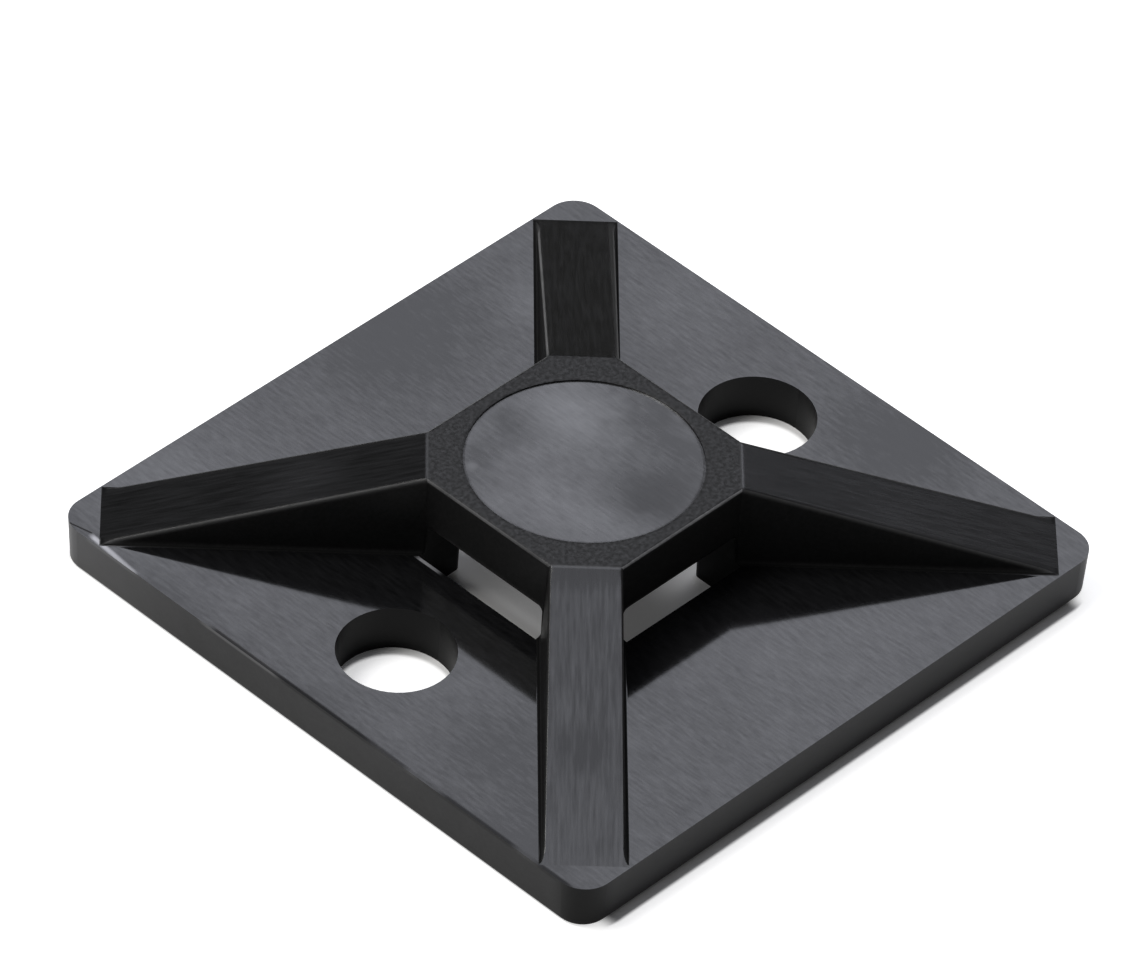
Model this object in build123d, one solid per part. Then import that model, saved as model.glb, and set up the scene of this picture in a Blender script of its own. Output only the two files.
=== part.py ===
from build123d import *
from math import atan2, degrees, radians, sqrt, tan
import os

# Cable tie mount, moulded in one piece: a square base with two screw holes, and an eight-sided
# platform bridged over it. A tie passes under the platform in either direction, and four ramps
# run from the platform down to the corners of the base.
# The frame has its origin at the centre of the underside, X and Y along the sides of the base,
# and Z up. The mould parts at the top face of the base: what is above it draws up, the rest down.

# Base
base_side = 28.0                # between opposite side walls, at the top face
base_thickness = 2.0
base_corner_radius = 1.2
base_foot_radius = 0.2          # rounding where the side walls meet the underside
base_wall_draft = 3.0           # degrees, the walls close in towards the underside

# Screw holes, on the X axis, each midway between a tie channel and the side of the base
screw_hole_diameter = 4.6

# Platform: four long faces over the tie windows, and four short faces that the ramps run into
platform_across = 10.3          # between opposite long faces, at the top
platform_short_face = 2.75      # width of a short face, at the top
platform_wall_draft = 1.0       # degrees
bridge_thickness = 2.2
recess_diameter = 9.15          # shallow round recess in the top
recess_depth = 0.06
crown_edge_radius = 0.1         # top edges of the platform and the ramps

# Tie windows, and the cross-shaped opening below them that the lower half of the mould fills
window_width = 6.1              # at the underside of the bridge
window_height = 1.4             # from the top face of the base to the bridge
window_corner_radius = 0.25     # where a post meets the bridge
post_edge_radius = 0.35         # inner edge of each of the four posts
channel_overhang = 0.33         # how far the opening in the base reaches out past the platform
channel_draft = 1.0             # degrees
shutoff_clearance = 0.04        # between the platform's face and the top of a channel's end wall

# Ramps
ramp_reach = 18.08              # from the middle of the part to the toe
ramp_wall_draft = 2.2           # degrees
ramp_foot_fillet = 0.18         # hollow rounding where the side walls meet the base

cut_overrun = 1.0               # how far a cutting shape passes the face that it opens

bridge_underside = base_thickness + window_height
platform_top = bridge_underside + bridge_thickness
crown_height = platform_top - base_thickness
half_across = platform_across / 2
corner_leg = platform_short_face / sqrt(2)
corner_step = half_across - corner_leg
short_face_distance = (half_across + corner_step) / sqrt(2)
channel_reach = half_across + channel_overhang
screw_hole_distance = (base_side / 2 + channel_reach) / 2


def spread(height, draft):
    """How far a wall with this draft moves sideways over this height."""
    return height * tan(radians(draft))


def draft_between(shift, height):
    """The draft of a wall that moves sideways by this shift over this height."""
    return degrees(atan2(shift, height))


def base_outline():
    return Pos(0, 0, base_thickness) * RectangleRounded(base_side, base_side, base_corner_radius)


def base():
    """Square plate, widest at its top face, with its foot rounded."""
    plate = extrude(base_outline(), amount=-base_thickness, taper=base_wall_draft)
    foot = plate.faces().sort_by(Axis.Z)[0]
    return fillet(foot.edges(), base_foot_radius)


def platform():
    """Eight-sided block from its top down to the base, before the windows are opened."""
    corners = [(half_across, corner_step), (corner_step, half_across)]
    corners += [(-y, x) for x, y in corners]
    corners += [(-x, -y) for x, y in corners]
    outline = Pos(0, 0, platform_top) * make_face(Polyline(*corners, close=True))
    block = extrude(outline, amount=-crown_height, taper=-platform_wall_draft)
    rim = block.faces().sort_by(Axis.Z)[-1].edges()
    return fillet(rim.filter_by(Axis.X) + rim.filter_by(Axis.Y), crown_edge_radius)


def ramp():
    """One wedge along +X. Its toe runs out in the top of the base, so a little of it is buried there."""
    half_top = platform_short_face / 2
    half_foot = half_top + spread(crown_height, ramp_wall_draft)
    half_buried = half_foot + 2 * ramp_foot_fillet
    buried = base_thickness - ramp_foot_fillet
    right = [
        (half_buried, buried),
        (half_buried, base_thickness),
        (half_foot, base_thickness),
        (half_top, platform_top),
    ]
    left = [(-across, height) for across, height in reversed(right)]
    section = make_face(Polyline(*right, *left, close=True))
    feet = [(across, base_thickness) for across in (-half_foot, half_foot)]
    foot_corners = [section.vertices().sort_by_distance(foot)[0] for foot in feet]
    section = fillet(foot_corners, ramp_foot_fillet)
    buried_reach = ramp_reach + ramp_foot_fillet * (ramp_reach - short_face_distance) / crown_height
    side = Polyline(
        (0, buried),
        (buried_reach, buried),
        (short_face_distance, platform_top),
        (0, platform_top),
        close=True,
    )
    bar = extrude(Plane.YZ * section, amount=buried_reach)
    wedge = bar & extrude(Plane.XZ * make_face(side), amount=half_buried, both=True)
    slope = wedge.faces().sort_by(lambda face: face.normal_at().X * face.normal_at().Z)[-1]
    flat = wedge.faces().sort_by(Axis.Z)[-1]
    top_edges = (slope.edges() + flat.edges()).filter_by(Axis.Y, reverse=True)
    return fillet(top_edges.filter_by(lambda edge: edge.center().Z > base_thickness), crown_edge_radius)


def crown():
    """The platform and its ramps, trimmed to the sides of the base."""
    ramps = [Rot(0, 0, angle) * ramp() for angle in (45, 135, 225, 315)]
    column = extrude(base_outline(), amount=crown_height + cut_overrun)
    return (platform() + ramps) & column


def channels():
    """The two tie channels: crossed under the bridge, open at four windows and through the base."""
    window_reach = half_across + spread(bridge_thickness, platform_wall_draft) + shutoff_clearance
    arm = 2 * (channel_reach + cut_overrun)
    cross = Rectangle(arm, window_width) + Rectangle(window_width, arm)
    inner_corners = cross.vertices().sort_by_distance((0, 0, 0))[:4]
    cross = Pos(0, 0, bridge_underside) * fillet(inner_corners, post_edge_radius)
    arms = extrude(cross, amount=-bridge_underside - cut_overrun, taper=-channel_draft)
    ceiling = arms.faces().sort_by(Axis.Z)[-1]
    arms = fillet(ceiling.edges(), window_corner_radius)
    mouth = Pos(0, 0, base_thickness) * Rectangle(2 * channel_reach, 2 * channel_reach)
    slope = draft_between(channel_reach - window_reach, window_height)
    above_base = extrude(mouth, amount=window_height, taper=slope)
    through_base = extrude(mouth, amount=-base_thickness - cut_overrun, taper=-channel_draft)
    return arms & (above_base + through_base)


def recess():
    """The shallow round recess in the top of the platform."""
    depth = recess_depth + cut_overrun
    return Pos(0, 0, platform_top - recess_depth + depth / 2) * Cylinder(recess_diameter / 2, depth)


def screw_holes():
    """Two plain holes straight through the base."""
    hole = Cylinder(screw_hole_diameter / 2, base_thickness + 2 * cut_overrun)
    return [Pos(x, 0, base_thickness / 2) * hole for x in (-screw_hole_distance, screw_hole_distance)]


body = base() + crown() - channels() - recess() - screw_holes()
os.makedirs("parts", exist_ok=True)
export_step(body, "parts/tie_mount_body.step")
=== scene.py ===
import math

import bpy
from mathutils import Matrix, Vector

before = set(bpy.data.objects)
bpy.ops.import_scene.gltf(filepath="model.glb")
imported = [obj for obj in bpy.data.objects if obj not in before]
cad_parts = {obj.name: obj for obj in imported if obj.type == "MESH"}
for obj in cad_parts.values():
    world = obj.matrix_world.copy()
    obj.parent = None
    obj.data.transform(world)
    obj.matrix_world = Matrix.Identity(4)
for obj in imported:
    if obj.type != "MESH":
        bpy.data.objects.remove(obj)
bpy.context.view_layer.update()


# The moulding
# The whole mount is one piece of black nylon, with its base, ramps and platform moulded together.
# The flat faces of the mould were ground along Y and its ramps along their length, and the rim of
# the platform and the drafted walls were left as the spark eroder leaves them.

mm = 0.001
base_top = 2.0
base_half_side = 14.0
side_strip = 0.6                # the side walls, with their foot and corners, lie within this
platform_top = 5.6
platform_half_across = 5.15
recess_floor = 5.54
recess_radius = 4.575
short_face_distance = 5.9       # from the middle to where a ramp starts down from the platform
ramp_toe_distance = 18.08
ramp_slope = (platform_top - base_top) / (ramp_toe_distance - short_face_distance)
ramp_edge = 1.25                # from the middle line of a ramp to its rounded edges


class Shade:
    """A socket in a shader tree. Arithmetic on it adds the Math nodes that work it out."""

    def __init__(self, tree, socket=None):
        self.tree = tree
        self.socket = socket

    def node(self, kind, settings=None, inputs=None, output=0):
        """Adds a node to the tree, with its settings and then its inputs, and gives its output."""
        made = self.tree.nodes.new(kind)
        for name, value in (settings or {}).items():
            setattr(made, name, value)
        for name, value in (inputs or {}).items():
            if isinstance(value, Shade):
                self.tree.links.new(value.socket, made.inputs[name])
            else:
                made.inputs[name].default_value = value
        return Shade(self.tree, made.outputs[output] if len(made.outputs) else None)

    def maths(self, operation, first, second=0.0):
        return self.node("ShaderNodeMath", {"operation": operation}, {0: first, 1: second})

    def __add__(self, other):
        return self.maths("ADD", self, other)

    def __radd__(self, other):
        return self.maths("ADD", other, self)

    def __sub__(self, other):
        return self.maths("SUBTRACT", self, other)

    def __rsub__(self, other):
        return self.maths("SUBTRACT", other, self)

    def __mul__(self, other):
        return self.maths("MULTIPLY", self, other)

    def __rmul__(self, other):
        return self.maths("MULTIPLY", other, self)

    def __pow__(self, power):
        return self.maths("POWER", self, power)

    def __neg__(self):
        return 0 - self

    def __abs__(self):
        return self.maths("ABSOLUTE", self)

    def at_least(self, other):
        return self.maths("MAXIMUM", self, other)

    def at_most(self, other):
        return self.maths("MINIMUM", self, other)

    def above(self, level, soft=0.01):
        """1 where this is above the level and 0 below it, with a soft step between."""
        ends = {"Value": self, "From Min": level - soft, "From Max": level + soft}
        return self.node("ShaderNodeMapRange", {"interpolation_type": "SMOOTHSTEP"}, ends)

    def below(self, level, soft=0.01):
        return 1 - self.above(level, soft)

    def within(self, low, high, soft=0.01):
        """1 between the two levels and 0 outside them."""
        return self.above(low, soft) - self.above(high, soft)


nylon = bpy.data.materials.new("black_nylon")
nylon.use_nodes = True
nylon.node_tree.nodes.clear()
finish = Shade(nylon.node_tree)

# Places on the part, in mm. Left, right, near and far are as the camera sees them: the near
# corner is the one between -X and -Y, and the ramps lie along the two diagonals.
place = finish.node("ShaderNodeTexCoord", output="Object")
place = finish.node("ShaderNodeVectorMath", {"operation": "SCALE"}, {"Scale": 1 / mm, 0: place})
across_x, across_y, height = [
    finish.node("ShaderNodeSeparateXYZ", inputs={0: place}, output=axis) for axis in range(3)
]
facing = finish.node("ShaderNodeTexCoord", output="Normal")
upward = finish.node("ShaderNodeSeparateXYZ", inputs={0: facing}, output=2)
from_middle = (across_x * across_x + across_y * across_y) ** 0.5
far_near = (across_x + across_y) * math.sqrt(0.5)
left_right = (across_x - across_y) * math.sqrt(0.5)
on_left_right = (abs(left_right) - abs(far_near)).above(0)
on_far_near = 1 - on_left_right
ramp_across = left_right * on_far_near + far_near * on_left_right
ramp_along = far_near * on_far_near + left_right * on_left_right
below_ramp = platform_top - ramp_slope * (abs(ramp_along) - short_face_distance) - height
beyond_platform = abs(ramp_along).above(short_face_distance)

# The faces, each of these 1 on its own face and 0 elsewhere
level = upward.above(0.98)
underside = (-upward).above(0.98)
raised = height.above(base_top + 0.05, 0.02)
on_plate = level * (1 - raised)
on_disc = level * height.above(recess_floor - 0.04) * from_middle.below(recess_radius)
on_rim = level * height.above(platform_top - 0.04) * (1 - on_disc)
on_ramp = upward.above(0.93) * (1 - level) * below_ramp.below(0.12, 0.02)
on_near_ramp = on_ramp * far_near.below(-4.0)
on_far_ramp = on_ramp * far_near.above(4.0)
on_left_ramp = on_ramp * left_right.below(-4.0)
on_right_ramp = on_ramp * left_right.above(4.0)
on_wall = 1 - on_plate - on_disc - on_ramp - on_rim - underside
on_raised_edge = on_wall * height.above(base_top + 0.3) * upward.within(0.2, 1.0, 0.1)
on_platform_edge = on_raised_edge * (1 - beyond_platform)
on_ramp_edge = on_raised_edge - on_platform_edge


def streaks(across, along, width, length):
    """Fine parallel lines, mostly from -1 to 1: so wide across them and so long along them."""
    stretched = {0: across * (1 / width), 1: along * (1 / length)}
    lines = finish.node("ShaderNodeCombineXYZ", inputs=stretched)
    noise = {"Vector": lines, "Scale": 1.0, "Detail": 3.0, "Roughness": 0.6}
    return finish.node("ShaderNodeTexNoise", inputs=noise) * 4 - 2


def mottle(size, detail=3.0):
    """Patches without direction, mostly from -1 to 1, of about this size."""
    noise = {"Vector": place, "Scale": 1 / size, "Detail": detail, "Roughness": 0.6}
    return finish.node("ShaderNodeTexNoise", inputs=noise) * 4 - 2


def spots(*places):
    """Round spots: each has a strength, an x, a y, and the distance at which it has faded out."""
    total = 0.0
    for strength, x, y, reach in places:
        distance = ((across_x - x) ** 2 + (across_y - y) ** 2) ** 0.5
        total = total + strength * distance.below(reach / 2, reach / 2)
    return total


ground_lines = streaks(across_x, across_y, width=0.14, length=0.9)
ramp_lines = streaks(ramp_across, ramp_along, width=0.14, length=1.8)
grain = mottle(0.16)
smears = mottle(0.45)
patches = mottle(1.2)
clouds = mottle(3.0, detail=4.0)

# On the ground faces, tone is how pale the nylon is, and polish how much of it mirrors clearly.
# The top of the base is rubbed in places and dusty in others. A glint is painted along the edge
# in its left corner, and a highlight on the lip of its opening in front of the left window.
corner_glint = abs(across_x + base_half_side - 0.09 * (across_y - 9.7)).below(0.10, 0.07)
corner_glint = corner_glint * across_y.within(9.6, 12.2, 0.2)
lip_highlight = across_x.within(-5.62, -5.46, 0.02) * across_y.within(1.9, 3.1, 0.2)
lip_highlight = lip_highlight * across_y.above(2.2, 0.8)
# The pale lip and the corner glint added to the tone here are painted highlights.
plate_tone = 0.008 + 0.004 * ground_lines + 0.4 * lip_highlight
plate_tone = plate_tone + corner_glint * (0.30 + 0.09 * (across_y - 10.0))
rubbed = spots(
    (0.35, -9.5, 12.9, 5.0),
    (0.15, -13.5, 10.5, 3.0),
    (0.25, 8.0, 10.5, 2.5),
    (0.15, 13.0, 6.0, 4.0),
    (0.17, 4.0, -12.0, 14.0),
    (0.12, -8.5, -3.5, 4.0),
)
dusty = spots(
    (0.40, 3.0, 13.0, 6.5),
    (0.25, -11.0, -6.5, 4.0),
    (0.25, -13.0, -10.5, 3.0),
    (0.45, 12.8, -4.8, 4.5),
)
dusty = dusty + 0.16 * across_x.below(side_strip - base_half_side, 0.5)
plate_polish = 0.28 + 0.26 * ground_lines + 0.08 * grain + 0.12 * clouds + rubbed - dusty

# The floor of the recess has been handled and has smears. Pale spots of painted sheen lie in its
# tone, with one small pale mark among them.
disc_sheen_and_mark = spots((0.035, 1.6, 1.9, 3.0), (0.01, -2.2, -2.4, 2.4), (0.08, -3.3, 2.7, 0.4))
disc_tone = 0.02 + 0.006 * ground_lines + 0.005 * clouds + 0.005 * patches + disc_sheen_and_mark
rubbed = spots(
    (0.55, 1.6, 1.9, 3.0),
    (0.12, -2.2, -2.4, 2.4),
    (0.22, -1.2, 1.1, 2.0),
    (0.28, -3.0, -0.6, 2.4),
    (0.30, 2.0, -2.2, 1.8),
)
smeared = spots(
    (0.60, 1.0, -3.1, 2.9),
    (0.30, 3.3, -2.4, 2.2),
    (0.30, -0.9, 3.2, 2.4),
    (0.20, 2.6, -1.0, 1.8),
    (0.15, 2.6, 2.8, 1.5),
    (0.35, -3.2, 2.9, 1.6),
    (0.35, 3.7, 0.4, 2.4),
    (0.20, 1.8, 1.2, 2.0),
)
disc_polish = 0.39 + 0.2 * ground_lines + 0.24 * clouds + 0.07 * patches + 0.12 * smears
disc_polish = disc_polish + rubbed - smeared
disc_dullness = spots((0.18, 1.0, -3.1, 2.9), (0.16, -0.3, -3.5, 1.8))

# The near ramp alone mirrors clearly, least at its crease. Of the others, the left one has a
# painted pale spot of sheen, and the right one has sheen painted on towards its toe.
left_ramp_tone = 0.010 + spots((0.010, -7.4, 7.4, 2.4))
right_ramp_tone = 0.001 + 0.004 * ramp_lines + 0.021 * left_right.above(9.3, 3.7)
far_ramp_tone = 0.004 + 0.004 * patches
ramp_tone = on_near_ramp * 0.006 + on_far_ramp * far_ramp_tone + on_ramp * 0.008 * ramp_lines
ramp_tone = ramp_tone + on_left_ramp * left_ramp_tone + on_right_ramp * right_ramp_tone
near_crease = abs(ramp_along).below(6.6, 0.6)
toe_polish = 0.055 * (-13.0 - far_near).at_least(0.0) - spots((0.25, -9.5, -9.5, 1.5))
near_polish = 0.20 + toe_polish + 0.34 * ramp_lines + 0.08 * patches - 0.45 * near_crease

# The creases between the platform and the near, left and right ramps have painted highlights.
crease_highlight = abs(ramp_along).within(short_face_distance - 0.05, short_face_distance + 0.07, 0.04)
crease_highlight = crease_highlight * height.above(platform_top - 0.12) * far_near.below(1.8)
crease_highlight_tone = 0.035 + 0.04 * far_near.below(-3.0)

rim_tone = 0.006 + 0.006 * grain
rim_polish = 0.12 + 0.3 * grain
underside_tone = 0.008 + 0.004 * ground_lines
underside_polish = 0.15 + 0.2 * ground_lines

tone = on_plate * plate_tone + on_disc * disc_tone + ramp_tone + crease_highlight * crease_highlight_tone
tone = (tone + on_rim * rim_tone + underside * underside_tone).at_least(0.001)
tints = {0: tone * 0.97, 1: tone * 0.98, 2: tone * 1.05}
ground_colour = finish.node("ShaderNodeCombineColor", inputs=tints)
polish = on_plate * plate_polish + on_disc * disc_polish + on_near_ramp * near_polish
polish = (polish + on_rim * rim_polish + underside * underside_polish).at_least(0.0)
roughness = on_plate * 0.08 + on_disc * 0.18 + on_ramp * (0.175 + 0.015 * ramp_lines)
roughness = roughness - on_far_ramp * 0.035 + on_rim * 0.65 + on_wall * 0.4 + underside * 0.25

# All the edges above the base are shaded rounder than they are, but for those of the near ramp
# and the right one of the far ramp, which are crisp.
crisp_start = 6.3               # from the middle to where these crisp edges begin
shaded_radius = 0.22
crisp = far_near.below(-crisp_start, 0.3)
crisp = crisp + far_near.above(crisp_start, 0.3) * left_right.above(0)
softened = raised * (1 - on_far_near * crisp)
rounded = finish.node("ShaderNodeBevel", {"samples": 6}, {"Radius": shaded_radius * mm})
plain = finish.node("ShaderNodeNewGeometry", output="Normal")
mixing = {"Factor": softened, 4: plain, 5: rounded}
normal = finish.node("ShaderNodeMix", {"data_type": "VECTOR"}, mixing, output=1)
relief = on_disc * ground_lines * 0.5 + on_ramp * ramp_lines * 0.6 + on_rim * grain
bumps = {"Strength": 0.15, "Distance": 0.01 * mm, "Height": relief, "Normal": normal}
bump = finish.node("ShaderNodeBump", inputs=bumps)

ground = {
    "Base Color": ground_colour,
    "Roughness": roughness,
    "Coat Weight": polish,
    "Coat Roughness": 0.10,
    "IOR": 1.5,
    "Normal": bump,
}
ground_faces = finish.node("ShaderNodeBsdfPrincipled", inputs=ground)

# The drafted walls are dull. The sides of the base are painted paler, a painted reflection of the
# white table beside them, most of all towards the left corner.
near_corner_start = 18.8        # from the middle to the rounding of the near corner
side = height.below(base_top + 0.01)
off_near_corner = far_near.above(-near_corner_start, 0.3)
left_side = side * across_x.below(side_strip - base_half_side, 0.3) * off_near_corner
front_side = side * across_y.below(side_strip - base_half_side, 0.3) * off_near_corner
far_sides = side * across_x.at_least(across_y).above(base_half_side - side_strip, 0.3)
far_sides = far_sides * (1 - left_side) * (1 - front_side)
# Painted reflection of the white table on the sides of the base.
left_side_painted_reflection = 0.021 + 0.007 * across_y.above(-6.0, 5.0) + 0.06 * across_y.above(9.5, 4.0)
left_side_painted_reflection = left_side_painted_reflection + 0.003 * (patches + grain)
front_side_painted_reflection = 0.022 + 0.014 * across_x.above(8.0, 4.0) + 0.02 * height.below(0.8, 0.8)
wall_tone = 0.003 + 0.001 * patches + far_sides * (0.020 + 0.003 * patches)
wall_tone = wall_tone + left_side * left_side_painted_reflection + front_side * front_side_painted_reflection
wall_tone = wall_tone + raised * (0.007 + 0.005 * beyond_platform + 0.004 * grain)

# The edges of the platform and the left one of the far ramp have painted highlights, and the walls
# of the left and right ramps fainter ones, just below their near edges.
front_edge = across_y.below(0.45 - platform_half_across, 0.2)
platform_edge_highlight = 0.065 + 0.03 * patches + front_edge * (0.09 + 0.05 * grain)
wall_tone = wall_tone + on_platform_edge * platform_edge_highlight
far_left_edge_highlight = on_ramp_edge * far_near.above(6.0) * left_right.below(0)
wall_tone = wall_tone + far_left_edge_highlight * (0.08 + 0.03 * patches)
under_near_edge_highlight = on_wall * raised * below_ramp.below(0.1, 0.1) * far_near.below(0)
wall_tone = wall_tone + under_near_edge_highlight * 0.03 * abs(left_right).above(5.5)

# The top of the base's left side has painted highlights too, here and there.
top_of_side = left_side * height.above(base_top - 0.14, 0.06)
top_edge_highlights = (
    0.06 * across_y.within(9.6, 12.2, 0.3)
    + 0.09 * across_y.within(2.0, 6.0, 0.4)
    + 0.05 * across_y.within(-5.4, -3.0, 0.4)
    + 0.035 * across_y.within(-11.6, -10.4, 0.3)
)
wall_tone = wall_tone + top_of_side * top_edge_highlights

# Where the mould parts, it left a dark line along the top of the left side, of changing
# strength. A nick in the left corner is as dark.
strength = (
    0.85 * across_y.within(-13.3, 5.6, 0.4)
    + 0.15 * across_y.within(-2.7, 5.6, 0.5)
    - 0.55 * across_y.within(-6.6, -4.8, 0.4)
    - 0.5 * across_y.within(-11.5, -10.4, 0.4)
)
parting_on_top = strength * across_x.below(0.15 - base_half_side, 0.06)
parting_on_side = strength * top_of_side * across_y.below(1.9, 0.4)
nick = abs((across_x + 13.78) * 0.975 + (across_y - 12.85) * 0.222).below(0.04, 0.02)
nick = nick * across_y.within(12.3, 13.4, 0.05) * across_x.below(-13.4)
dark_line = on_plate * parting_on_top.at_least(nick)
wall_tone = wall_tone * (1 - 0.8 * dark_line.at_least(parting_on_side))
wall_tone = wall_tone.at_least(0.001)

tints = {0: wall_tone, 1: wall_tone, 2: wall_tone * 1.02}
wall_colour = finish.node("ShaderNodeCombineColor", inputs=tints)
walls = {
    "Base Color": wall_colour,
    "Roughness": 0.4,
    "Specular IOR Level": 0.13,
    "IOR": 1.5,
    "Normal": bump,
}
drafted_walls = finish.node("ShaderNodeBsdfPrincipled", inputs=walls)

# Some ground faces take a share of the walls' dullness: above all, strips along the edges of
# the left and right ramps and the right edge of the far one.
edge_strips = 0.7 * on_left_right * on_ramp * abs(ramp_across).above(ramp_edge - 0.01, 0.08)
edge_strips = edge_strips + 0.8 * on_far_ramp * left_right.above(ramp_edge + 0.01, 0.04)
dullness = on_wall + 0.25 * on_rim + on_near_ramp * (0.14 + 0.13 * near_crease)
dullness = dullness + edge_strips + on_disc * disc_dullness + dark_line
faces = {0: dullness, 1: ground_faces, 2: drafted_walls}
surface = finish.node("ShaderNodeMixShader", inputs=faces)
finish.node("ShaderNodeOutputMaterial", inputs={"Surface": surface})

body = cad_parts["tie_mount_body"]
body.data.materials.clear()
body.data.materials.append(nylon)


# The table
# The mount lies on a broad table painted matt white, with its underside against the paint. Round
# the base and in the screw holes the table shows white, and a thin shadow stays along the front.

screw_hole_distance = 9.74
screw_hole_radius = 2.3
table_reach = 4000.0

floor_mesh = bpy.data.meshes.new("floor")
corners = [(-1, -1), (1, -1), (1, 1), (-1, 1)]
corners = [(x * table_reach * mm, y * table_reach * mm, 0) for x, y in corners]
floor_mesh.from_pydata(corners, [], [(0, 1, 2, 3)])
floor = bpy.data.objects.new("floor", floor_mesh)
bpy.context.scene.collection.objects.link(floor)

white = bpy.data.materials.new("white_table")
white.use_nodes = True
white.node_tree.nodes.clear()
paint = Shade(white.node_tree)

spot = paint.node("ShaderNodeTexCoord", output="Object")
spot = paint.node("ShaderNodeVectorMath", {"operation": "SCALE"}, {"Scale": 1 / mm, 0: spot})
spot_x, spot_y = [
    paint.node("ShaderNodeSeparateXYZ", inputs={0: spot}, output=axis) for axis in range(2)
]
beside_base = abs(spot_x).above(base_half_side - 0.3, 0.3)
behind_base = spot_y.above(base_half_side - 0.3, 0.3)
front_of_base = (-spot_y).above(base_half_side + 0.28, 0.1)
past_corner_x = abs(spot_x) - (base_half_side - 0.1)
past_corner_y = spot_y + (base_half_side + 0.2)
front_corners = ((past_corner_x ** 2 + past_corner_y ** 2) ** 0.5).below(1.2, 0.4)
round_base = (beside_base + behind_base + front_of_base + front_corners).at_most(1.0)
from_hole = ((abs(spot_x + 0.3) - screw_hole_distance) ** 2 + (spot_y + 0.3) ** 2) ** 0.5
in_holes = from_hole.below(screw_hole_radius + 0.02, 0.12)

# Under the platform the table glows a little, as painted light for what comes in through the
# windows, most of all where it shows in the left and the front one.
under_platform = (spot_x ** 2 + spot_y ** 2).below(8 ** 2, 1)
past_left = spot_y.below(1.4, 2.2) * spot_x.below(-2, 0.5)
past_front = spot_x.above(2.2, 1.6) * (spot_y.above(-3.45, 0.45) - spot_y.above(-2, 0.5))
# The glow under the platform is painted light.
painted_window_light = (0.052 + 0.09 * past_left) * spot_x.above(-3.55, 0.35) + 0.13 * past_front

looked_at, mirrored, looked_through = [
    paint.node("ShaderNodeLightPath", output=ray)
    for ray in ("Is Camera Ray", "Is Glossy Ray", "Is Transmission Ray")
]
seen = looked_at.at_least(looked_through).at_least(0.5 * mirrored)
glow = seen * (0.7 * round_base + 0.5 * in_holes + under_platform * painted_window_light)
matt_white = {
    "Base Color": (0.95, 0.95, 0.95, 1),
    "Roughness": 0.9,
    "Emission Color": paint.node("ShaderNodeCombineColor", inputs={0: glow, 1: glow, 2: glow}),
    "Emission Strength": 1.0,
}
painted = paint.node("ShaderNodeBsdfPrincipled", inputs=matt_white)
paint.node("ShaderNodeOutputMaterial", inputs={"Surface": painted})
floor_mesh.materials.append(white)


# The camera
# A long lens a little over a third of a metre away, which looks down on the near corner of the
# mount and leans a little to one side.

azimuth, elevation, roll = (math.radians(angle) for angle in (47.996, 41.942, 3.814))
camera_distance = 368.70                # mm, along the view
aim_right, aim_down = 0.6247, 3.0511    # mm, from the middle of the picture to the part's origin
picture_width = 1121                    # pixels
focal_length = 9732.7                   # pixels

forward = Vector((
    math.cos(elevation) * math.sin(azimuth),
    math.cos(elevation) * math.cos(azimuth),
    -math.sin(elevation),
))
level_right = Vector((math.cos(azimuth), -math.sin(azimuth), 0))
level_down = forward.cross(level_right)
right = math.cos(roll) * level_right - math.sin(roll) * level_down
down = math.sin(roll) * level_right + math.cos(roll) * level_down
eye = -(aim_right * right + aim_down * down + camera_distance * forward) * mm

lens = bpy.data.cameras.new("camera")
lens.sensor_fit = "HORIZONTAL"
lens.sensor_width = 36
lens.lens = focal_length / picture_width * lens.sensor_width
camera = bpy.data.objects.new("camera", lens)
turned = Matrix((right, -down, -forward)).transposed().to_4x4()
camera.matrix_world = Matrix.Translation(eye) @ turned
bpy.context.scene.collection.objects.link(camera)
bpy.context.scene.camera = camera


# The lamps
# Two softboxes on stands, in a dim room: a broad cool one behind and above, which the ground
# faces mirror, and a smaller warm one at the left, which lights the walls.


def softbox(name, turn, rise, distance, width, tall, brightness, colour):
    """A lamp that faces the part. Its turn from straight behind it and its rise are in degrees,
    and its distance and sides in metres."""
    bearing = azimuth + math.radians(turn)
    rise = math.radians(rise)
    over_table = math.cos(rise)
    toward = Vector((
        over_table * math.sin(bearing),
        over_table * math.cos(bearing),
        math.sin(rise),
    ))
    lamp = bpy.data.lights.new(name, "AREA")
    lamp.shape = "RECTANGLE"
    lamp.size = width
    lamp.size_y = tall
    lamp.color = colour
    lamp.energy = brightness * math.pi * width * tall
    stand = bpy.data.objects.new(name, lamp)
    aimed = toward.to_track_quat("Z", "Y").to_matrix().to_4x4()
    stand.matrix_world = Matrix.Translation(toward * distance) @ aimed
    bpy.context.scene.collection.objects.link(stand)


softbox(
    "back_softbox", turn=8, rise=59, distance=0.6,
    width=0.36, tall=0.60, brightness=1.80, colour=(0.885, 0.905, 1.0),
)
softbox(
    "left_softbox", turn=-85, rise=60, distance=0.6,
    width=0.26, tall=0.26, brightness=10.0, colour=(1.0, 0.99, 0.97),
)

world = bpy.data.worlds.new("studio")
world.use_nodes = True
world.node_tree.nodes["Background"].inputs["Color"].default_value = (0.10, 0.10, 0.10, 1)
bpy.context.scene.world = world
bpy.context.scene.view_settings.view_transform = "Standard"
